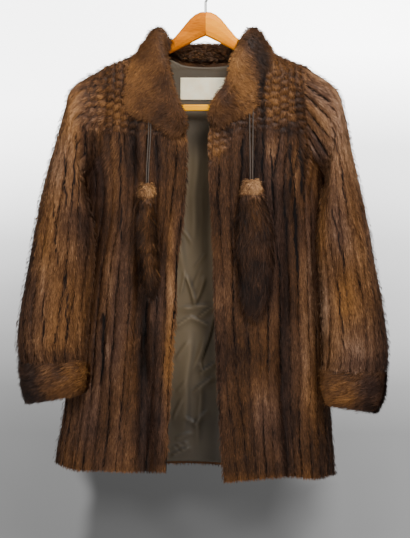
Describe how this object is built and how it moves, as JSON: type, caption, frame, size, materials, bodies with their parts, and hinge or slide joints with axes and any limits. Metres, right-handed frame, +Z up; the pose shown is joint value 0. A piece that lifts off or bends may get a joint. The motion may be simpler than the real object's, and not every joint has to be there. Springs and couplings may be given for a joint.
{
  "type": "fur coat on a wooden hanger",
  "caption": "Hip-length open fur jacket with let-out strips, plush turn-down collar, hanging tie pendants and satin lining, on a varnished wooden hanger with a wire hook.",
  "frame": {"origin": "inside of the hook's bend, where it bears on a rail", "axes": "+Z up; the coat's front faces -Y; +X is to the right as seen from the front"},
  "size_m": [0.6975, 0.1493, 0.9697],
  "materials": {
    "fur": "brown mink, glossy guard hairs",
    "plush": "golden-brown short fur",
    "satin": "taupe satin",
    "tape": "pale woven tape",
    "braid": "fine braided cord",
    "varnished_wood": "clear varnish, gloss",
    "steel": "bright plated wire"
  },
  "bodies": {
    "root": {"front_left": "fur", "front_right": "fur", "back": "fur", "yoke_left": "fur", "yoke_right": "fur", "back_yoke": "fur", "sleeve_left": "fur", "sleeve_right": "fur", "cuff_left": "plush", "cuff_right": "plush", "collar_left": "plush", "collar_right": "plush", "lining_back": "satin", "lining_left": "satin", "lining_right": "satin", "label": "tape", "tie_left_inner": "braid", "tie_left_outer": "braid", "tie_right_inner": "braid", "tie_right_outer": "braid", "pendant_cap_left": "plush", "pendant_tail_left": "fur", "pendant_cap_right": "plush", "pendant_tail_right": "fur", "hanger_arm_left": "varnished_wood", "hanger_arm_right": "varnished_wood", "hanger_bar": "varnished_wood", "hanger_hook": "steel"}
  },
  "joints": []
}
